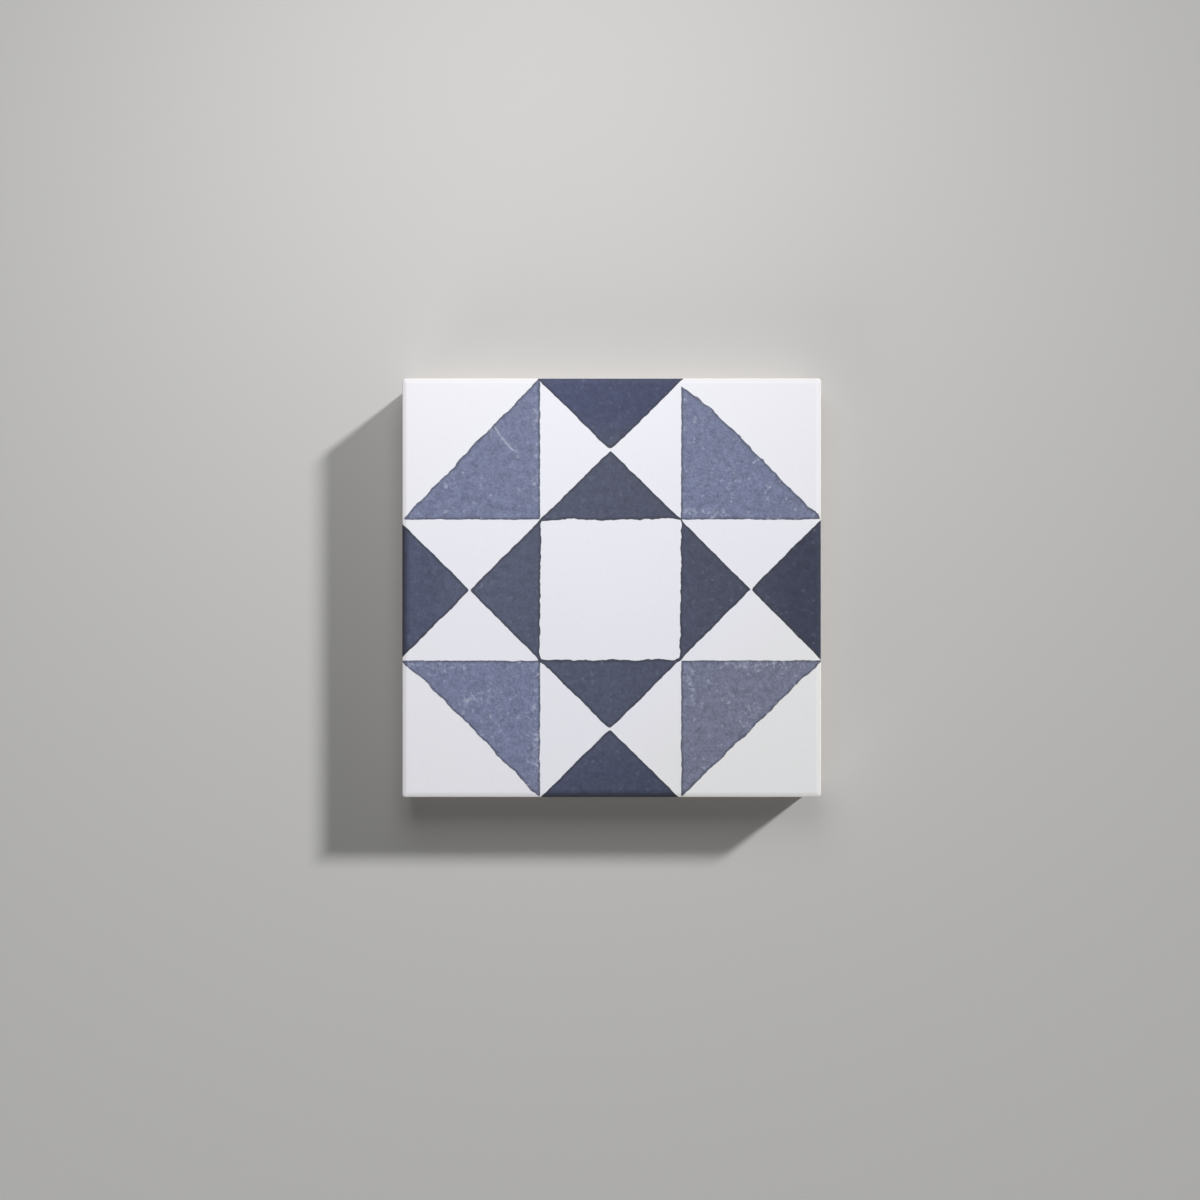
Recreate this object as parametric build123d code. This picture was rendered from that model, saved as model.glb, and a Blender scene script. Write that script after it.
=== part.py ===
from build123d import *
import os

# Square press-moulded tile lying on its back with its decorated face up, in millimetres.
# The origin is the centre of the back, at the level on which its ribs rest.

# Overall size
side = 100.0
thickness = 10.0

# Edges: the flat face falls off gently over the arris, which ends in a small round against the sides
corner_radius = 0.8
arris_width = 1.2
arris_drop = 0.1
arris_radius = 0.25
face_corner_radius = 0.25
back_bevel = 0.5

# Keyed back: drafted square pockets that leave a border and a grid of ribs for the adhesive to grip
border_width = 6.0
rib_width = 2.4
pockets_per_side = 6
pocket_depth = 0.8
pocket_corner_radius = 2.0
pocket_draft = 30.0
rib_edge_bevel = 0.25

# Sizes that follow from those above
face_side = side - 2 * arris_width
shoulder_height = thickness - arris_drop
key_width = side - 2 * border_width
pocket_pitch = (key_width + rib_width) / pockets_per_side
pocket_side = pocket_pitch - rib_width


def make_pocket():
    """One pocket of the back, which narrows upwards so that the press plate draws out of it."""
    with BuildPart() as pocket:
        with BuildSketch():
            RectangleRounded(pocket_side, pocket_side, pocket_corner_radius)
        extrude(amount=pocket_depth, taper=pocket_draft)
    return pocket.part


def make_tile():
    """The pressed slab: eased at the face, bevelled at the back, and keyed with bevelled ribs."""
    pocket = make_pocket()
    with BuildPart() as tile:
        with BuildSketch():
            RectangleRounded(side, side, corner_radius)
        extrude(amount=shoulder_height)

        with BuildSketch(Plane.XY.offset(shoulder_height)):
            RectangleRounded(side, side, corner_radius)
        with BuildSketch(Plane.XY.offset(thickness)):
            RectangleRounded(face_side, face_side, face_corner_radius)
        loft(ruled=True)
        edge_levels = tile.edges().filter_by(Plane.XY).group_by(Axis.Z)
        shoulder_edges = edge_levels[-2]  # the next level edges below those of the face
        fillet(shoulder_edges, radius=arris_radius)

        back = tile.faces().sort_by(Axis.Z)[0]
        chamfer(back.edges(), length=back_bevel)

        with GridLocations(pocket_pitch, pocket_pitch, pockets_per_side, pockets_per_side):
            add(pocket, mode=Mode.SUBTRACT)
        keyed_back = tile.faces().sort_by(Axis.Z)[0]
        rib_edges = [edge for wire in keyed_back.inner_wires() for edge in wire.edges()]
        chamfer(rib_edges, length=rib_edge_bevel)
    return tile.part


tile = make_tile()
tile.label = "tile"

os.makedirs("parts", exist_ok=True)
export_step(tile, "parts/tile.step")
print("tile of", round(tile.volume), "mm3 with pockets", round(pocket_side, 2), "mm wide")
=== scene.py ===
import math
import bpy
import numpy as np
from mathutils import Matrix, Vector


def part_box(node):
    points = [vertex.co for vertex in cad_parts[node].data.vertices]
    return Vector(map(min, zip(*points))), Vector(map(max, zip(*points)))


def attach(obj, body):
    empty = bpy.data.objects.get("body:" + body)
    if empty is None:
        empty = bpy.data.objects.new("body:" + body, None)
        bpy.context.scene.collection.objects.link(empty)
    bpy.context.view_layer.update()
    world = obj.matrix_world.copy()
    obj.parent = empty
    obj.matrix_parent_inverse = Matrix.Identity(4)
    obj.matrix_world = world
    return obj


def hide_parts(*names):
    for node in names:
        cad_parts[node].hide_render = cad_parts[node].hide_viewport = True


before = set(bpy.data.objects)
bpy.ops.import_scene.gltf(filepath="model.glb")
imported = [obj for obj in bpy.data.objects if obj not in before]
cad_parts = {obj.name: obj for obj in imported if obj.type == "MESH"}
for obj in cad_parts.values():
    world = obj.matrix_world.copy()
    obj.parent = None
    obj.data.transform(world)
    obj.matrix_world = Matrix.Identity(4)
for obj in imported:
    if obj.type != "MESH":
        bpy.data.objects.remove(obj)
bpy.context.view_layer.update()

# Sizes are in millimetres until a mesh, lamp or camera is made
mm = 0.001
tileLow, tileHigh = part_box("tile")
halfSide = (tileHigh.x - tileLow.x) / 2 / mm
thickness = (tileHigh.z - tileLow.z) / mm
print("frame loaded: tile", round(2 * halfSide, 2), "mm wide and", round(thickness, 2), "mm thick")


tileShape = {
    "arrisWidth": 1.2,              # the face falls off over this width
    "arrisTilt": 7.0,               # at this angle, in degrees
    "arrisEase": 2.2,               # which is reached after one part in this many of the slope
    "arrisRound": 0.22,             # and then it rolls over into the side
    "cornerRadius": 0.8,            # outline of the slab, seen from above
    "faceCorner": 0.25,             # outline of the flat face inside the arris
    "backBevel": 0.5,
    "borderWidth": 6.0,             # keyed back: border, ribs and square pockets
    "ribWidth": 2.4,
    "pocketsPerSide": 6,
    "pocketDepth": 0.8,
    "pocketCorner": 2.0,
    "pocketLip": 0.2,               # rounding outside the mouth
    "pocketSlope": 0.6,             # drafted wall inside the mouth
    "gridInset": 4.0,               # edge rings end here and a grid fills the middle
    "gridCorner": 2.5,
    "wallLines": (-0.5, -0.22, -0.05, 0.1, 0.25, 0.4, 0.58, 0.9),  # grid lines inside a pocket's mouth
    "floorLines": (0.15, 0.3),      # and on its floor, as shares of its width
    "borderLines": (0.9, 0.4, 0.0),
    "faceRings": (3.2, 2.5, 2.0, 1.6, 1.35),    # insets of the rings on the face and on the back
    "backRings": (0.8, 1.3, 2.0, 2.9),
    "bevelRings": (0.12, 0.5, 0.88),            # shares of the bevel
    "arrisSteps": 9,
    "roundSteps": 8,
    "wallSteps": 14,
    "faceWave": (0.03, 38.0, 3),    # depth, length and seed of the slow waves in the fired face
    "glazeRipple": (0.006, 4.0, 5),
    "wallRipple": (0.05, 5.0, 11),
    "backRipple": (0.03, 16.0, 7),
    "waveCount": 14,
    "waveSpread": (0.7, 1.5),       # shortest and longest wave, as shares of the length
    "wallLean": 0.35,               # the ripples of the sides lean with height
    "wallEase": 1.0,                # and fade out over this height at the face and the back
    "faceEnd": 2.0,                 # the face's waves end this far down, and the back's this far up
    "backEnd": 1.0,
    "printShare": 0.76,             # width of the unfolded face and sides on the bake map
    "backShare": 0.22,
    "mapMargin": 0.005,
}


def sunk(x, y, wave, shape):
    # Sum of plane waves of about one length, each with its own heading and phase, scaled to run from 0
    # to the wave's depth, so that a surface only moves inwards
    depth, length, seed = wave
    count = shape["waveCount"]
    rng = np.random.default_rng(seed)
    heading = rng.uniform(0, 2 * np.pi, count)
    lengths = length * rng.uniform(*shape["waveSpread"], count)
    phase = rng.uniform(0, 2 * np.pi, count)
    along = x[..., None] * np.cos(heading) + y[..., None] * np.sin(heading)
    waves = np.cos(2 * np.pi * along / lengths + phase).sum(-1)
    return depth * (0.5 + 0.5 * np.clip(waves / math.sqrt(2 * count), -1, 1))


def roundOff(x, y, half, corner, shape):
    # The square grid is carried to a square of half-width half with round corners:
    # each corner square of the grid becomes a quarter disc, ring by ring, and the rest scales evenly
    gridCorner = shape["gridCorner"]
    core = halfSide - shape["gridInset"] - gridCorner
    midX, midY = np.clip(x, -core, core), np.clip(y, -core, core)
    offX, offY = np.abs(x - midX) / gridCorner, np.abs(y - midY) / gridCorner
    reach, least = np.maximum(offX, offY), np.minimum(offX, offY)
    turn = np.pi / 4 * least / np.where(reach > 0, reach, 1)
    angle = np.where(offX >= offY, turn, np.pi / 2 - turn)
    scale = (half - corner) / core
    outX = midX * scale + np.sign(x) * corner * reach * np.cos(angle)
    outY = midY * scale + np.sign(y) * corner * reach * np.sin(angle)
    return outX, outY


def pocketLayout(shape):
    # The border and ribs leave equal square pockets: the width of one, and the row of their centres
    count = shape["pocketsPerSide"]
    pitch = (2 * (halfSide - shape["borderWidth"]) + shape["ribWidth"]) / count
    centres = (np.arange(count) - (count - 1) / 2) * pitch
    return pitch - shape["ribWidth"], centres


def gridLines(shape):
    # Lines crowd at the walls of the pockets, thin out on their floors and end at the edge rings
    width, centres = pocketLayout(shape)
    atWalls = width / 2 - np.array(shape["wallLines"])
    halfPocket = np.concatenate((atWalls, width * np.array(shape["floorLines"])))
    pocket = np.concatenate((-halfPocket, [0], halfPocket))
    inPockets = (centres[:, None] + pocket).ravel()
    onRibs = (centres[1:] + centres[:-1]) / 2
    onBorder = halfSide - shape["gridInset"] - np.array(shape["borderLines"])
    return np.sort(np.concatenate((inPockets, onRibs, onBorder, -onBorder)))


def pocketHeight(x, y, shape):
    # Height of the back: distance inside the nearest round-cornered square, through a smooth step
    width, centres = pocketLayout(shape)
    nearX = np.abs(x[..., None] - centres).min(-1)
    nearY = np.abs(y[..., None] - centres).min(-1)
    core = width / 2 - shape["pocketCorner"]
    outside = np.hypot(np.maximum(nearX - core, 0), np.maximum(nearY - core, 0))
    inside = shape["pocketCorner"] - outside
    rise = np.clip((inside + shape["pocketLip"]) / (shape["pocketLip"] + shape["pocketSlope"]), 0, 1)
    return shape["pocketDepth"] * rise * rise * (3 - 2 * rise)


def edgeProfile(shape):
    # Rings from the face over the arris, down the wall and round the back bevel, as inset and height,
    # with the radius of each ring's corners and the number of rings before those of the back.
    # The arris is a slope whose tilt eases in over its first part, then an arc that turns to the wall
    tilt = math.radians(shape["arrisTilt"])
    steps = shape["arrisSteps"]
    slopeInset = np.linspace(shape["arrisWidth"], shape["arrisRound"] * (1 - math.sin(tilt)), steps)
    ease = np.clip(np.linspace(0, shape["arrisEase"], steps)[1:], 0, 1)
    slopeFall = np.concatenate(([0], np.cumsum(-np.diff(slopeInset) * math.tan(tilt) * ease)))
    turn = np.linspace(tilt, math.pi / 2, shape["roundSteps"])[1:]
    roundInset = shape["arrisRound"] * (1 - np.sin(turn))
    roundFall = slopeFall[-1] + shape["arrisRound"] * (math.cos(tilt) - np.cos(turn))

    faceInset = np.array(shape["faceRings"])
    wallHeight = np.linspace(thickness - roundFall[-1], shape["backBevel"], shape["wallSteps"])[1:]
    bevelInset = shape["backBevel"] * np.array(shape["bevelRings"])
    backInset = np.array((shape["backBevel"], *shape["backRings"]))
    inset = np.concatenate((faceInset, slopeInset, roundInset, 0 * wallHeight, bevelInset, backInset))
    height = np.concatenate((
        thickness - np.concatenate((0 * faceInset, slopeFall, roundFall)),
        wallHeight, shape["backBevel"] - bevelInset, 0 * backInset,
    ))
    corner = np.interp(
        inset,
        [0, shape["cornerRadius"] - shape["faceCorner"], shape["arrisWidth"], shape["gridInset"]],
        [shape["cornerRadius"], shape["faceCorner"], shape["faceCorner"], shape["gridCorner"]],
    )
    return inset, height, corner, len(inset) - len(backInset)


def faceSink(x, y, shape):
    # Slow waves of the fired face with the fine ripples of its glaze
    return sunk(x, y, shape["faceWave"], shape) + sunk(x, y, shape["glazeRipple"], shape)


def ringPoints(loopX, loopY, inset, height, corner, shape):
    # Each ring is the loop drawn out to its inset. The sides ripple inwards, the rings of the face sink
    # with its waves and those of the back rise with theirs
    flatX, flatY = roundOff(loopX, loopY, halfSide - inset[:, None], corner[:, None], shape)
    around = np.broadcast_to(height[:, None], flatX.shape)
    lean = shape["wallLean"] * around
    fromFace = np.clip((thickness - around) / shape["wallEase"], 0, 1)
    fromBack = np.clip(around / shape["wallEase"], 0, 1)
    pull = sunk(flatX + lean, flatY - lean, shape["wallRipple"], shape) * fromFace * fromBack
    x, y = flatX * (1 - pull / halfSide), flatY * (1 - pull / halfSide)
    upper = np.clip(shape["faceEnd"] - (thickness - around), 0, 1)
    lower = np.clip(shape["backEnd"] - around, 0, 1)
    rise = lower * sunk(x, y, shape["backRipple"], shape)
    return np.stack((x, y, around - upper * faceSink(x, y, shape) + rise), -1)


def tileQuads(index, loop, ringCount):
    # Quads of the face grid, of each pair of neighbouring rings and of the back grid, facing outwards
    grid = np.stack((index[:-1, :-1], index[:-1, 1:], index[1:, 1:], index[1:, :-1]), -1)
    grid = grid.reshape(-1, 4)
    rings = index.size + np.arange(ringCount * len(loop)).reshape(ringCount, len(loop))
    backFirst = index.size + rings.size
    rows = np.concatenate((loop[None], rings, loop[None] + backFirst))
    beside = np.roll(rows, -1, axis=1)
    between = np.stack((rows[:-1], rows[1:], beside[1:], beside[:-1]), -1)
    return grid, between, grid[:, ::-1] + backFirst


def buildTile(shape):
    # Face grid, edge rings and back grid share their boundary loops, so the skin is closed
    lines = gridLines(shape)
    squareX, squareY = np.meshgrid(lines, lines)
    span = halfSide - shape["gridInset"]
    gridX, gridY = roundOff(squareX, squareY, span, shape["gridCorner"], shape)
    index = np.arange(gridX.size).reshape(gridX.shape)
    loop = np.concatenate((index[0, :-1], index[:-1, -1], index[-1, :0:-1], index[:0:-1, 0]))
    loopX, loopY = squareX.ravel()[loop][None], squareY.ravel()[loop][None]
    inset, height, corner, backStart = edgeProfile(shape)

    faceZ = thickness - faceSink(gridX, gridY, shape)
    backZ = pocketHeight(gridX, gridY, shape) + sunk(gridX, gridY, shape["backRipple"], shape)
    points = np.concatenate((
        np.stack((gridX, gridY, faceZ), -1).reshape(-1, 3),
        ringPoints(loopX, loopY, inset, height, corner, shape).reshape(-1, 3),
        np.stack((gridX, gridY, backZ), -1).reshape(-1, 3),
    ))
    faceQuads, ringQuads, gridBack = tileQuads(index, loop, len(inset))
    frontQuads = np.concatenate((faceQuads, ringQuads[:backStart + 1].reshape(-1, 4)))
    backQuads = np.concatenate((ringQuads[backStart + 1:].reshape(-1, 4), gridBack))
    quads = np.concatenate((frontQuads, backQuads))

    # Bake map: face and sides unfold outwards as one piece, and the back lies beside them
    steps = np.hypot(np.diff(inset), np.diff(height))
    unfolded = halfSide - inset[0] + np.concatenate(([0], np.cumsum(steps)))
    mapCorner = np.maximum(corner, corner.min() + unfolded - (halfSide - shape["arrisWidth"]))
    mapX, mapY = roundOff(loopX, loopY, unfolded[:, None], mapCorner[:, None], shape)
    frontMap = np.concatenate((
        np.stack((gridX, gridY), -1).reshape(-1, 2), np.stack((mapX, mapY), -1).reshape(-1, 2),
    ))
    margin, printShare, backShare = shape["mapMargin"], shape["printShare"], shape["backShare"]
    frontMap = frontMap / (2 * unfolded[backStart]) * printShare + printShare / 2 + margin
    backMap = points[:, :2] * [-1, 1] / (2 * halfSide) * backShare + 1 - margin - backShare / 2
    cornersMap = np.concatenate((frontMap[frontQuads], backMap[backQuads]))

    mesh = bpy.data.meshes.new("printedTile")
    mesh.from_pydata((points * mm).tolist(), [], quads.tolist())
    mesh.polygons.foreach_set("use_smooth", np.ones(len(quads), bool))
    bakeMap = mesh.uv_layers.new(name="OFBake")
    bakeMap.data.foreach_set("uv", cornersMap.ravel())
    mesh.update()
    tile = bpy.data.objects.new("printedTile", mesh)
    bpy.context.scene.collection.objects.link(tile)
    print("tile built:", len(points), "points and", 2 * len(quads), "triangles")
    return tile


# Small helpers that lay out shader nodes: a value is either a socket to link or a fixed number
def feed(tree, socket, value):
    if isinstance(value, bpy.types.NodeSocket):
        tree.links.new(value, socket)
    else:
        socket.default_value = value


def addNode(tree, kind, options, inputs):
    node = tree.nodes.new(kind)
    for name, value in options.items():
        setattr(node, name, value)
    for name, value in inputs.items():
        feed(tree, node.inputs[name], value)
    return node


def calc(tree, operation, *values):
    return addNode(tree, "ShaderNodeMath", {"operation": operation}, dict(enumerate(values))).outputs[0]


def vectorCalc(tree, operation, *values):
    # The result is a vector
    options = {"operation": operation}
    return addNode(tree, "ShaderNodeVectorMath", options, dict(enumerate(values))).outputs["Vector"]


def measure(tree, operation, *values):
    # The result of two vectors is a number
    options = {"operation": operation}
    return addNode(tree, "ShaderNodeVectorMath", options, dict(enumerate(values))).outputs["Value"]


def scaled(tree, vector, factor):
    inputs = {"Vector": vector, "Scale": factor}
    return addNode(tree, "ShaderNodeVectorMath", {"operation": "SCALE"}, inputs).outputs["Vector"]


def apart(tree, vector):
    return addNode(tree, "ShaderNodeSeparateXYZ", {}, {"Vector": vector}).outputs


def fade(tree, value, low, high, toLow=0.0, toHigh=1.0, course="SMOOTHSTEP"):
    # Smooth or straight step of the value from low to high
    node = addNode(tree, "ShaderNodeMapRange", {"interpolation_type": course}, {
        "Value": value, "From Min": low, "From Max": high, "To Min": toLow, "To Max": toHigh,
    })
    return node.outputs["Result"]


def blend(tree, share, under, over):
    # Mix of two colours: their sockets are the seventh and the eighth
    node = addNode(tree, "ShaderNodeMix", {"data_type": "RGBA"}, {0: share, 6: under, 7: over})
    return node.outputs[2]


def blendValue(tree, share, under, over):
    # Mix of two numbers: their sockets are the third and the fourth
    return addNode(tree, "ShaderNodeMix", {}, {0: share, 2: under, 3: over}).outputs[0]


def cloud(tree, position, size, detail=2.0, roughness=0.5):
    # Noise about zero whose blotches are about the given size in millimetres
    node = addNode(tree, "ShaderNodeTexNoise", {}, {
        "Vector": position, "Scale": 1 / size, "Detail": detail, "Roughness": roughness,
    })
    return calc(tree, "SUBTRACT", node.outputs["Fac"], 0.5)


def newGroup(name, inputs, outputs):
    group = bpy.data.node_groups.new(name, "ShaderNodeTree")
    for label, kind in inputs:
        group.interface.new_socket(label, in_out="INPUT", socket_type=kind)
    for label in outputs:
        group.interface.new_socket(label, in_out="OUTPUT", socket_type="NodeSocketFloat")
    entry = group.nodes.new("NodeGroupInput")
    leave = group.nodes.new("NodeGroupOutput")
    return group, entry.outputs, leave.inputs


def placeGroup(tree, group, inputs):
    return addNode(tree, "ShaderNodeGroup", {"node_tree": group}, inputs).outputs


starPrint = {
    "cell": 2 * halfSide / 3 + 0.2,     # nine square fields, a little larger than a third of the side
    "squareShift": (0.24, 0.42, 0.0),   # each screen of the print sits a little off the tile's centre
    "starShift": (0.36, 0.50, 0.0),
    "blueShift": (0.24, 0.53, 0.0),
    "squareShear": 0.0125,              # and is drawn out a little along one diagonal of the tile
    "starShear": 0.003,
    "starStretch": (1.005, 0.996),     # the star's screen is a little wider than it is long
    "starDraw": 0.15,                   # the dark points meet this much nearer to the middle
    "apexRound": 0.45,                  # rounding and gap where two dark points meet
    "apexSharp": 0.12,                  # rounding of the two inner points that lie towards +x and +y
    "darkSpread": 0.06,
    "neckReach": 1.6,                   # ink that joins the dark points at the middle square's corners
    "neckDepth": 0.28,
    "outerFade": (2.0, 11.2),           # the dark ink changes from this far inside its points to outside
    "blueInset": 0.07,
    "blueTip": 0.9,                     # rounding of the blue points
    "waveSize": 5.0,                    # length of slow waves and of fine jags along the edges
    "jagSize": 1.6,
    "baseWobble": (1.3, 0.7),           # depth of the waves and of the jags on each kind of edge
    "diagonalWobble": (0.5, 0.4),
    "legWobble": (0.5, 0.4),
    "slantWobble": (1.5, 0.6),
    "tips": [                           # blue points that end short, or long: place, reach and trim
        ((17.0, 49.0), 9.0, 1.2),
        ((33.0, 33.0), 60.0, -0.18),
        ((-50.0, 16.0), 5.0, 0.45),
        ((-48.0, 18.0), 45.0, 0.28),
        ((-18.0, 48.0), 45.0, -0.42),
        ((-38.0, -27.0), 30.0, 0.68),
        ((-50.0, -17.0), 6.0, -0.5),
        ((-18.0, -48.0), 45.0, 0.2),
        ((18.0, -48.0), 45.0, 0.5),
        ((48.0, -18.0), 45.0, -0.15),
        ((49.5, 17.5), 4.0, -0.3),
    ],
}


def makeStarPrint(look):
    # Signed distances inside the print, in millimetres. With a and b the larger and smaller of |x|, |y|:
    # the dark triangles lie where a is past half a cell and |a - cell| is more than b,
    # and the blue ones lie past half a cell both ways, inside the line |x| + |y| = 2 cells
    group, entry, leave = newGroup(
        "starPrint", [("Position", "NodeSocketVector")], ["Dark Distance", "Blue Distance", "Outer"]
    )
    position, cell = entry["Position"], look["cell"]
    wave = cloud(group, position, look["waveSize"])
    jag = cloud(group, position, look["jagSize"])

    def wobbled(distance, depths):
        # An edge carried in and out by the waves and the jags
        waved = calc(group, "MULTIPLY_ADD", wave, depths[0], distance)
        return calc(group, "MULTIPLY_ADD", jag, depths[1], waved)

    def folded(shift, shear=0.0, stretch=(1.0, 1.0)):
        # The print about its own middle, set straight and with its four quarters laid on one another
        moved = apart(group, vectorCalc(group, "ADD", position, shift))
        straightX = calc(group, "MULTIPLY_ADD", moved["Y"], -shear, moved["X"])
        straightY = calc(group, "MULTIPLY_ADD", moved["X"], -shear, moved["Y"])
        x = calc(group, "ABSOLUTE", calc(group, "DIVIDE", straightX, stretch[0]))
        y = calc(group, "ABSOLUTE", calc(group, "DIVIDE", straightY, stretch[1]))
        return x, y

    # Dark triangles: their diagonals, then their bases along the middle square
    x, y = folded(look["starShift"], look["starShear"], look["starStretch"])
    longer, shorter = calc(group, "MAXIMUM", x, y), calc(group, "MINIMUM", x, y)
    outerStart, outerEnd = look["outerFade"]
    feed(group, leave["Outer"], fade(group, longer, cell - outerStart, cell + outerEnd))
    pastApex = calc(group, "SUBTRACT", longer, cell - look["starDraw"])
    towards = measure(group, "DOT_PRODUCT", position, (1, 1, 0))
    inner = calc(group, "LESS_THAN", pastApex, 0.0)
    sharp = calc(group, "MULTIPLY", inner, calc(group, "GREATER_THAN", towards, 0.0))
    rounding = blendValue(group, sharp, look["apexRound"] ** 2, look["apexSharp"] ** 2)
    rounded = calc(group, "SQRT", calc(group, "MULTIPLY_ADD", shorter, shorter, rounding))
    diagonal = calc(group, "SUBTRACT", calc(group, "ABSOLUTE", pastApex), rounded)
    diagonal = calc(group, "MULTIPLY_ADD", diagonal, math.sqrt(0.5), look["darkSpread"])
    diagonal = wobbled(diagonal, look["diagonalWobble"])
    x, y = folded(look["squareShift"], look["squareShear"])
    base = calc(group, "SUBTRACT", calc(group, "MAXIMUM", x, y), cell / 2)
    base = wobbled(base, look["baseWobble"])
    spot = addNode(group, "ShaderNodeCombineXYZ", {}, {"X": x, "Y": y}).outputs["Vector"]
    cornerGap = measure(group, "DISTANCE", spot, (cell / 2, cell / 2, 0))
    neck = fade(group, cornerGap, 0.0, look["neckReach"], look["neckDepth"], 0.0)
    dark = calc(group, "ADD", calc(group, "MINIMUM", base, diagonal), neck)
    feed(group, leave["Dark Distance"], dark)

    # Blue triangles: their two legs, then the slant with its trims
    x, y = folded(look["blueShift"])
    leg = calc(group, "SUBTRACT", calc(group, "MINIMUM", x, y), cell / 2 + look["blueInset"])
    leg = wobbled(leg, look["legWobble"])
    across = calc(group, "SUBTRACT", 2 * cell, calc(group, "ADD", x, y))
    slant = wobbled(calc(group, "MULTIPLY", across, math.sqrt(0.5)), look["slantWobble"])
    level = vectorCalc(group, "MULTIPLY", position, (1, 1, 0))
    for place, reach, trim in look["tips"]:
        tipGap = measure(group, "DISTANCE", level, (*place, 0))
        slant = calc(group, "SUBTRACT", slant, fade(group, tipGap, 0.0, reach, trim, 0.0, "LINEAR"))
    feed(group, leave["Blue Distance"], calc(group, "SMOOTH_MIN", leg, slant, look["blueTip"]))
    return group


strokeMark = {
    "core": 0.2,    # share of the half-width that is marked in full
}


def makeStroke(look):
    # Soft mark about a straight line: one less the smooth step of the distance to the nearest point on it
    group, entry, leave = newGroup("stroke", [
        ("Position", "NodeSocketVector"), ("Start", "NodeSocketVector"), ("End", "NodeSocketVector"),
        ("Half Width", "NodeSocketFloat"),
    ], ["Mask"])
    flat = vectorCalc(group, "MULTIPLY", entry["Position"], (1, 1, 0))
    fromStart = vectorCalc(group, "SUBTRACT", flat, entry["Start"])
    whole = vectorCalc(group, "SUBTRACT", entry["End"], entry["Start"])
    reached = measure(group, "DOT_PRODUCT", fromStart, whole)
    along = calc(group, "DIVIDE", reached, measure(group, "DOT_PRODUCT", whole, whole))
    along = calc(group, "MINIMUM", calc(group, "MAXIMUM", along, 0.0), 1.0)
    gap = measure(group, "DISTANCE", fromStart, scaled(group, whole, along))
    share = calc(group, "DIVIDE", gap, entry["Half Width"])
    feed(group, leave["Mask"], fade(group, share, look["core"], 1.0, 1.0, 0.0))
    return group


inkWear = {
    "fleckDetail": 3.0,
    "fleckRoughness": 0.6,
    "swirl": 1.4,                       # draws the flecks out into commas
    "patchSize": 8.0,                   # flecks gather in patches
    "patchWeight": 0.2,
    "rubbedWeight": 0.11,
    "edgeReach": (0.3, 2.4),            # wear along an edge of the ink ends between these distances
    "fleckFade": (-0.03, 0.17),
    "speckGap": 2.2,                    # single specks lie about this far apart, pulled about by clouds
    "drawSize": 0.9,
    "drawDepth": 1.6,
    "speckFade": (0.10, 0.55),
    "speckChance": (0.55, 1.05),
    "speckRubbed": 0.45,
    "fineCloud": (0.6, 3.0, 0.7),       # mottling: size, detail and roughness of its clouds and islands
    "broadCloud": (2.0, 3.0, 0.5),
    "broadWeight": 0.6,
    "islandCloud": (1.5, 2.0, 0.6),
    "islandFade": (0.04, 0.22),
    "islandWeight": 0.12,
}


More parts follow.
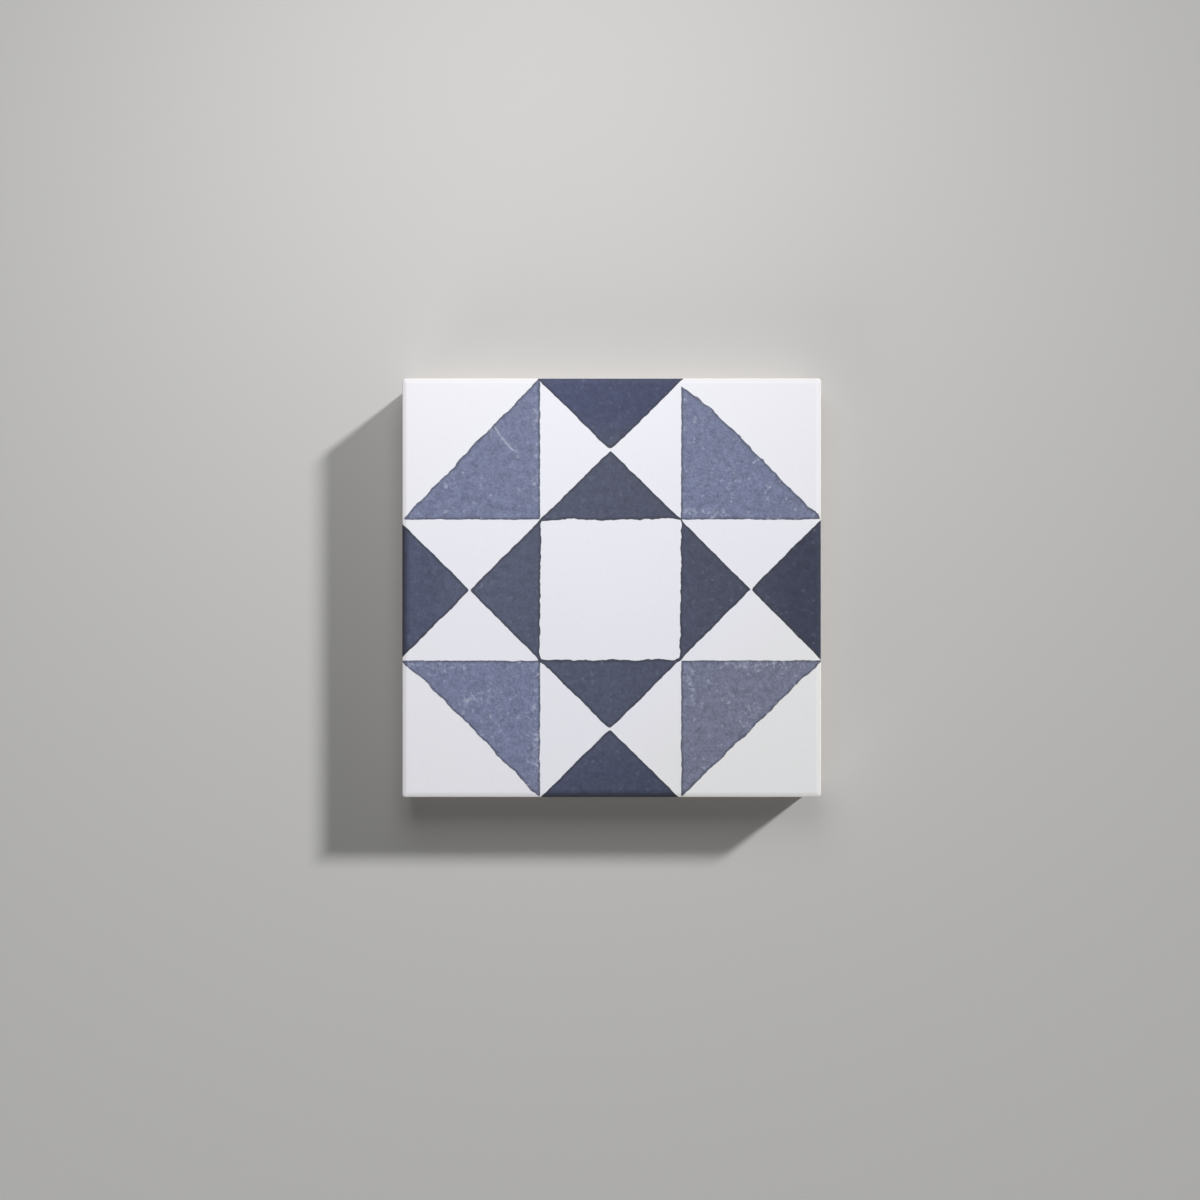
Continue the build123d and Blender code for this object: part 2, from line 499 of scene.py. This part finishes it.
def makeInkWear(look):
    # Light flecks where swirling noise passes a bar, which is lower near an edge of the ink,
    # by chance in patches and where the print is rubbed; single specks about points strewn at random,
    # each of a strength of its own; and a mottling of clouds and light islands
    group, entry, leave = newGroup("inkWear", [
        ("Position", "NodeSocketVector"), ("Distance", "NodeSocketFloat"), ("Rubbed", "NodeSocketFloat"),
        ("Fleck Size", "NodeSocketFloat"), ("Bar", "NodeSocketFloat"), ("Edge Wear", "NodeSocketFloat"),
    ], ["Worn", "Speck", "Mottle"])
    position, rubbed = entry["Position"], entry["Rubbed"]

    # Flecks
    flecks = addNode(group, "ShaderNodeTexNoise", {}, {
        "Vector": position, "Scale": calc(group, "DIVIDE", 1.0, entry["Fleck Size"]),
        "Detail": look["fleckDetail"], "Roughness": look["fleckRoughness"], "Distortion": look["swirl"],
    })
    nearEdge = fade(group, entry["Distance"], *look["edgeReach"], 1.0, 0.0)
    lowered = calc(group, "MULTIPLY", nearEdge, entry["Edge Wear"])
    patches = cloud(group, position, look["patchSize"])
    lowered = calc(group, "MULTIPLY_ADD", patches, look["patchWeight"], lowered)
    lowered = calc(group, "MULTIPLY_ADD", rubbed, look["rubbedWeight"], lowered)
    bar = calc(group, "SUBTRACT", entry["Bar"], lowered)
    over = calc(group, "SUBTRACT", flecks.outputs["Fac"], bar)
    feed(group, leave["Worn"], fade(group, over, *look["fleckFade"]))

    # Specks
    draw = addNode(group, "ShaderNodeTexNoise", {}, {"Vector": position, "Scale": 1 / look["drawSize"]})
    drawn = vectorCalc(group, "SUBTRACT", draw.outputs["Color"], (0.5, 0.5, 0.5))
    drawn = vectorCalc(group, "MULTIPLY_ADD", drawn, (look["drawDepth"], look["drawDepth"], 0), position)
    strewn = addNode(group, "ShaderNodeTexVoronoi", {"voronoi_dimensions": "2D"}, {
        "Vector": drawn, "Scale": 1 / look["speckGap"],
    })
    fromSpeck = calc(group, "MULTIPLY", strewn.outputs["Distance"], look["speckGap"])
    drawnLots = addNode(group, "ShaderNodeSeparateColor", {}, {"Color": strewn.outputs["Color"]})
    chance = calc(group, "MULTIPLY_ADD", rubbed, look["speckRubbed"], drawnLots.outputs["Red"])
    strength = fade(group, chance, *look["speckChance"])
    speck = calc(group, "MULTIPLY", strength, fade(group, fromSpeck, *look["speckFade"], 1.0, 0.0))
    feed(group, leave["Speck"], speck)

    # Mottling
    fine = cloud(group, position, *look["fineCloud"])
    broad = cloud(group, position, *look["broadCloud"])
    islands = fade(group, cloud(group, position, *look["islandCloud"]), *look["islandFade"])
    mottle = calc(group, "MULTIPLY_ADD", broad, look["broadWeight"], fine)
    mottle = calc(group, "MULTIPLY_ADD", islands, look["islandWeight"], mottle)
    feed(group, leave["Mottle"], mottle)
    return group


glazeLook = {
    "white": (0.775, 0.775, 0.837, 1),
    "cornerWhite": (0.775, 0.775, 0.82, 1),     # the white is more neutral at the corners
    "cornerFade": (50.0, 80.0),
    "greyWhite": (0.772, 0.776, 0.785, 1),      # most of all at one of them, where the blue is greyer too
    "greyWhiteFade": (30.0, 65.0),
    "greyBlue": (0.155, 0.165, 0.236, 1),
    "greyBlueFade": (10.0, 55.0),
    "blue": (0.157, 0.177, 0.278, 1),
    "slate": (0.0735, 0.0827, 0.1290, 1),       # dark triangles about the middle
    "navy": (0.056, 0.0645, 0.108, 1),          # dark triangles at the edge
    "indigo": (0.055, 0.0640, 0.126, 1),        # and the one at the far side
    "indigoFade": (20.0, 40.0),
    "paintedShade": (0.012, 0.012, 0.015, 1),          # painted shade: the dark ink is darkened over the arris on the left and near sides, which face away from the key lamp
    "paintedShadeFade": (-25.0, -5.0),
    "paintedShadeWidth": 2.0,
    "paintedShadeShare": 0.82,
    "darkShadeSlope": (1.0, -0.0063, -0.0014),        # painted shade: the dark ink darkens along x, standing in for sheen that fades that way, and a little along y, against the top lamp's sheen
    # painted light: the blue ink lightens towards -y, against the top lamp's falloff there
    "blueLightSlope": (1.04, 0.0, -0.0013),
    "worn": (0.50, 0.53, 0.64, 1),              # rubbed and scratched places
    "rim": (0.036, 0.038, 0.050, 1),            # the ink is denser and greyer along its edges
    "darkInk": {
        "fleckSize": 1.3, "bar": 0.72, "edgeWear": 0.05,
        "mottle": 0.9, "worn": 0.26, "speck": 0.08, "rim": (0.25, 0.8, 0.62),
    },
    "blueInk": {
        "fleckSize": 1.3, "bar": 0.625, "edgeWear": 0.03,
        "mottle": 1.2, "worn": 0.34, "speck": 0.34, "rim": (0.05, 0.8, 0.6),
    },
    "inkEdge": 0.08,                            # softness of a printed edge
    "inkLine": (0.6, 1.4),                      # the print ends this far down the sides
    "scratchBreaks": (1.2, 1.6, 2.0),           # size, depth and detail of the clouds that break a scratch
    "scratchShare": 0.34,
    "arrisWarmShade": (0.935, 0.91, 0.87),           # the glaze is warmer and darker over the arris: partly thin glaze over the warm body, partly painted shade that dims the lit arris
    "arrisEnd": 0.2,
    "thinGlaze": 0.6,                           # share of the body seen through the glaze on the sides
    "thinFade": (0.1, 0.7),
    "body": (0.60, 0.545, 0.49, 1),
    "bodyShade": (0.47, 0.42, 0.37, 1),
    "bodyCloud": (7.0, 1.2, 3.0),
    "bodyGrain": (0.6, 3.0, 0.6),               # size, detail and roughness of the grain
    "bodyShare": 0.35,
    "glazeLine": 1.7,                           # the glaze ends about here, in a wandering line
    "glazeLineWander": (6.0, 1.6, 3.0),
    "glazeLineEdge": 0.15,
    "sheen": 0.25,                              # specular level of the matt glaze and of the body
    "glazeRoughness": 0.52,
    "roughnessWander": (3.0, 0.15, 3.0),
    "bodyRoughness": 0.86,
    "glazeRelief": (0.8, 0.02, 3.0),            # fine texture of the glaze
    "inkRelief": 0.006,
    "bodyRelief": 0.09,
}

# Marks on the print, each from a start to an end with half its width: a fine scratch and ticks that
# show the white, places where the blue is rubbed and faint scuffs on the dark ink
scratches = [
    ((-27.9, 38.4), (-26.2, 35.8), 0.36),
    ((-26.2, 35.8), (-24.2, 33.4), 0.46),
    ((-24.2, 33.4), (-22.4, 32.2), 0.34),
    ((33.8, 29.8), (35.3, 30.9), 0.3),
    ((36.7, 22.8), (37.8, 24.1), 0.4),
]
rubbedPlaces = [
    ((-18.2, 42.0), (-18.2, 20.0), 1.3),
    ((17.8, 18.2), (27.0, 18.0), 1.6),
    ((-48.0, -17.8), (-36.0, -18.6), 1.8),
    ((-18.2, -20.0), (-18.2, -42.0), 2.0),
    ((-35.5, -27.0), (-28.5, -25.5), 2.6),
    ((25.0, -18.0), (45.0, -18.4), 2.0),
    ((18.5, -19.0), (19.5, -27.0), 1.8),
    ((23.5, -23.0), (28.0, -26.0), 2.6),
    ((34.0, -28.5), (31.5, -32.5), 1.8),
]
scuffedPlaces = [
    ((38.8, -4.4), (40.6, -5.9), 1.5),
    ((20.2, -8.9), (21.0, -9.6), 1.1),
    ((-31.6, 0.8), (-30.2, -0.9), 1.5),
    ((6.0, 25.6), (6.7, 24.9), 1.2),
    ((0.6, -38.2), (1.2, -39.4), 1.2),
]


def makePrintedPorcelain(look, printGroup, wearGroup, strokeGroup):
    material = bpy.data.materials.new("printedPorcelain")
    material.use_nodes = True
    tree = material.node_tree
    shader = tree.nodes["Principled BSDF"].inputs
    position = scaled(tree, tree.nodes.new("ShaderNodeTexCoord").outputs["Object"], 1 / mm)
    along = apart(tree, position)
    x, y = along["X"], along["Y"]
    awayX, awayY = calc(tree, "ABSOLUTE", x), calc(tree, "ABSOLUTE", y)
    away = calc(tree, "MAXIMUM", awayX, awayY)
    below = calc(tree, "SUBTRACT", thickness, along["Z"])
    aslant = calc(tree, "SUBTRACT", x, y)

    def varied(level, clouds):
        # A level that clouds of a given size, depth and detail raise and lower
        size, depth, detail = clouds
        return calc(tree, "MULTIPLY_ADD", cloud(tree, position, size, detail), depth, level)

    def joinStrokes(marks):
        # The strongest of the marks at each point
        joined = 0.0
        for start, end, halfWidth in marks:
            mark = placeGroup(tree, strokeGroup, {
                "Position": position, "Start": (*start, 0), "End": (*end, 0), "Half Width": halfWidth,
            })
            joined = calc(tree, "MAXIMUM", joined, mark["Mask"])
        return joined

    def paintedLightSlope(lightSlope):
        # Painted light and shade on an ink, as a level with a slope along x and one along y
        level, alongX, alongY = lightSlope
        return calc(tree, "MULTIPLY_ADD", y, alongY, calc(tree, "MULTIPLY_ADD", x, alongX, level))

    def inkColour(colour, lightSlope, distance, rubbed, ink):
        # Ink with mottling, painted light and shade as slopes along x and y, a denser rim and flecks where
        # the white shows through
        wear = placeGroup(tree, wearGroup, {
            "Position": position, "Distance": distance, "Rubbed": rubbed,
            "Fleck Size": ink["fleckSize"], "Bar": ink["bar"], "Edge Wear": ink["edgeWear"],
        })
        mottled = calc(tree, "MULTIPLY_ADD", wear["Mottle"], ink["mottle"], 1.0)
        inked = scaled(tree, colour, calc(tree, "MULTIPLY", mottled, paintedLightSlope(lightSlope)))
        rimStart, rimEnd, rimShare = ink["rim"]
        rimmed = blend(tree, fade(tree, distance, rimStart, rimEnd, rimShare, 0.0), inked, look["rim"])
        share = calc(tree, "MULTIPLY", wear["Worn"], ink["worn"])
        share = calc(tree, "MULTIPLY_ADD", wear["Speck"], ink["speck"], share)
        return blend(tree, share, rimmed, look["worn"])

    def inkMask(distance):
        # Inside a printed edge, and above the line where the print ends on the sides
        covered = fade(tree, distance, -look["inkEdge"], look["inkEdge"])
        return calc(tree, "MULTIPLY", covered, fade(tree, below, *look["inkLine"], 1.0, 0.0))

    # Dark ink, with painted shade over the arris on the left and near sides
    printed = placeGroup(tree, printGroup, {"Position": position})
    darkDistance, blueDistance = printed["Dark Distance"], printed["Blue Distance"]
    outerBase = blend(tree, fade(tree, y, *look["indigoFade"]), look["navy"], look["indigo"])
    darkBase = blend(tree, printed["Outer"], look["slate"], outerBase)
    scuffed = joinStrokes(scuffedPlaces)
    darkInk = inkColour(darkBase, look["darkShadeSlope"], darkDistance, scuffed, look["darkInk"])
    # Painted shade: the dark ink turns near black over the arris on the two sides away from the key lamp
    shadedSides = fade(tree, calc(tree, "ADD", x, y), *look["paintedShadeFade"], look["paintedShadeShare"], 0.0)
    shadedBand = fade(tree, away, halfSide - look["paintedShadeWidth"], halfSide, 0.0, 1.0, "LINEAR")
    darkInk = blend(tree, calc(tree, "MULTIPLY", shadedSides, shadedBand), darkInk, look["paintedShade"])
    darkMask = inkMask(darkDistance)

    # Blue ink with its scratches
    blueBase = blend(tree, fade(tree, aslant, *look["greyBlueFade"]), look["blue"], look["greyBlue"])
    rubbed = joinStrokes(rubbedPlaces)
    blueInk = inkColour(blueBase, look["blueLightSlope"], blueDistance, rubbed, look["blueInk"])
    broken = varied(look["scratchShare"], look["scratchBreaks"])
    scratched = calc(tree, "MULTIPLY", joinStrokes(scratches), broken)
    blueInk = blend(tree, scratched, blueInk, look["worn"])
    blueMask = inkMask(blueDistance)

    # White glaze under the inks, thin and warm where it runs over the arris, and darker there as painted
    # shade
    toCorner = fade(tree, calc(tree, "ADD", awayX, awayY), *look["cornerFade"])
    white = blend(tree, toCorner, look["white"], look["cornerWhite"])
    white = blend(tree, fade(tree, aslant, *look["greyWhiteFade"]), white, look["greyWhite"])
    thin = fade(tree, below, *look["thinFade"], 0.0, look["thinGlaze"])
    white = blend(tree, thin, white, look["body"])
    glaze = blend(tree, blueMask, white, blueInk)
    glaze = blend(tree, darkMask, glaze, darkInk)
    # Painted shade, with some real warmth of thin glaze, over the arris
    overArris = fade(tree, away, halfSide - tileShape["arrisWidth"], halfSide - look["arrisEnd"])
    warmShaded = vectorCalc(tree, "MULTIPLY", glaze, look["arrisWarmShade"])
    glaze = blend(tree, overArris, glaze, warmShaded)

    # Bare fired body below the wandering end of the glaze
    bodyGrain = cloud(tree, position, *look["bodyGrain"])
    shaded = calc(tree, "ADD", bodyGrain, varied(look["bodyShare"], look["bodyCloud"]))
    body = blend(tree, shaded, look["body"], look["bodyShade"])
    glazeEnd = varied(look["glazeLine"], look["glazeLineWander"])
    pastGlaze = calc(tree, "SUBTRACT", below, glazeEnd)
    bare = fade(tree, pastGlaze, -look["glazeLineEdge"], look["glazeLineEdge"])
    feed(tree, shader["Base Color"], blend(tree, bare, glaze, body))

    shader["Specular IOR Level"].default_value = look["sheen"]
    glazeRough = varied(look["glazeRoughness"], look["roughnessWander"])
    feed(tree, shader["Roughness"], blendValue(tree, bare, glazeRough, look["bodyRoughness"]))

    # Relief: fine glaze texture, a trace of ink thickness and a granular body, in millimetres
    inkHeight = calc(tree, "MULTIPLY", calc(tree, "MAXIMUM", darkMask, blueMask), look["inkRelief"])
    glazeHeight = varied(inkHeight, look["glazeRelief"])
    bodyHeight = calc(tree, "MULTIPLY", bodyGrain, look["bodyRelief"])
    relief = blendValue(tree, bare, glazeHeight, bodyHeight)
    bump = addNode(tree, "ShaderNodeBump", {}, {"Height": relief, "Distance": mm})
    feed(tree, shader["Normal"], bump.outputs["Normal"])
    print("material made:", material.name, "with", len(tree.nodes), "nodes")
    return material


tile = buildTile(tileShape)
printGroup, wearGroup, strokeGroup = makeStarPrint(starPrint), makeInkWear(inkWear), makeStroke(strokeMark)
tile.data.materials.append(makePrintedPorcelain(glazeLook, printGroup, wearGroup, strokeGroup))
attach(tile, "root")
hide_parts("tile")


studio = {
    "floorWidth": 30.0,                    # metres from here on
    "floorColour": (0.52, 0.515, 0.51, 1),
    "floorRoughness": 0.9,
    "floorSheen": 0.2,
    "keyPlace": (1.64, 1.27, 0.73),        # low light from the far right, as a sun of this angle in degrees
    "keyAngle": 5.0,
    "keyPower": 4.95,
    "fillPlace": (-1.1, -1.7, 0.36),       # low weak light on the two sides that the key leaves dark
    "fillAngle": 30.0,
    "fillPower": 1.15,
    "topPlace": (-0.02, 0.14, 0.17),       # near lamp above the far side of the tile
    "topSize": 0.15,
    "topPower": 0.215,
    "skyLight": 0.11,
    "skyShown": 0.395,
}


def makeFloor(look):
    half = look["floorWidth"] / 2
    corners = [(-half, -half, 0), (half, -half, 0), (half, half, 0), (-half, half, 0)]
    mesh = bpy.data.meshes.new("floor")
    mesh.from_pydata(corners, [], [(0, 1, 2, 3)])
    floor = bpy.data.objects.new("floor", mesh)
    material = bpy.data.materials.new("paleFloor")
    material.use_nodes = True
    shader = material.node_tree.nodes["Principled BSDF"].inputs
    shader["Base Color"].default_value = look["floorColour"]
    shader["Roughness"].default_value = look["floorRoughness"]
    shader["Specular IOR Level"].default_value = look["floorSheen"]
    mesh.materials.append(material)
    bpy.context.scene.collection.objects.link(floor)


def addLamp(name, kind, place, spread, power):
    # A lamp that faces the middle of the tile: the spread is a sun's angle or the side of a square lamp
    data = bpy.data.lights.new(name, kind)
    if kind == "SUN":
        data.angle = math.radians(spread)
    else:
        data.size = spread
    data.energy = power
    lamp = bpy.data.objects.new(name, data)
    lamp.location = place
    lamp.rotation_euler = lamp.location.to_track_quat("Z", "Y").to_euler()
    lamp.visible_camera = False
    bpy.context.scene.collection.objects.link(lamp)


def makeSky(look):
    # An even sky: one strength lights the tile, and another, paler one is what the camera sees
    world = bpy.data.worlds.new("sky")
    world.use_nodes = True
    bpy.context.scene.world = world
    tree = world.node_tree
    path = tree.nodes.new("ShaderNodeLightPath").outputs
    seen = calc(tree, "MAXIMUM", path["Is Camera Ray"], path["Is Glossy Ray"])
    seen = calc(tree, "MAXIMUM", seen, path["Is Transmission Ray"])
    background = tree.nodes["Background"].inputs
    background["Color"].default_value = (1, 1, 1, 1)
    feed(tree, background["Strength"], blendValue(tree, seen, look["skyLight"], look["skyShown"]))


makeFloor(studio)
addLamp("keyLamp", "SUN", studio["keyPlace"], studio["keyAngle"], studio["keyPower"])
addLamp("fillLamp", "SUN", studio["fillPlace"], studio["fillAngle"], studio["fillPower"])
addLamp("topLamp", "AREA", studio["topPlace"], studio["topSize"], studio["topPower"])
makeSky(studio)
print("studio set up")


# The photograph looks straight down: these pixels and the distance settle the camera
photograph = {
    "width": 1200,
    "tileWidth": 419.0,            # across the face, in pixels
    "tileCentre": (611.6, 587.8),  # pixels from the left and from the top
    "distance": 0.265,             # metres from the face
    "sensor": 36.0,
}


def aimCamera(view):
    # Pixels on the face become metres, and the angle of view follows from the frame's width there
    metresPerPixel = 2 * halfSide * mm / view["tileWidth"]
    frameWidth = view["width"] * metresPerPixel
    data = bpy.data.cameras.new("camera")
    data.sensor_width = view["sensor"]
    data.lens = view["sensor"] * view["distance"] / frameWidth
    camera = bpy.data.objects.new("camera", data)
    middle = view["width"] / 2
    camera.location = (
        (middle - view["tileCentre"][0]) * metresPerPixel,
        (view["tileCentre"][1] - middle) * metresPerPixel,
        thickness * mm + view["distance"],
    )
    bpy.context.scene.collection.objects.link(camera)
    bpy.context.scene.camera = camera


aimCamera(photograph)
bpy.context.scene.view_settings.view_transform = "Standard"
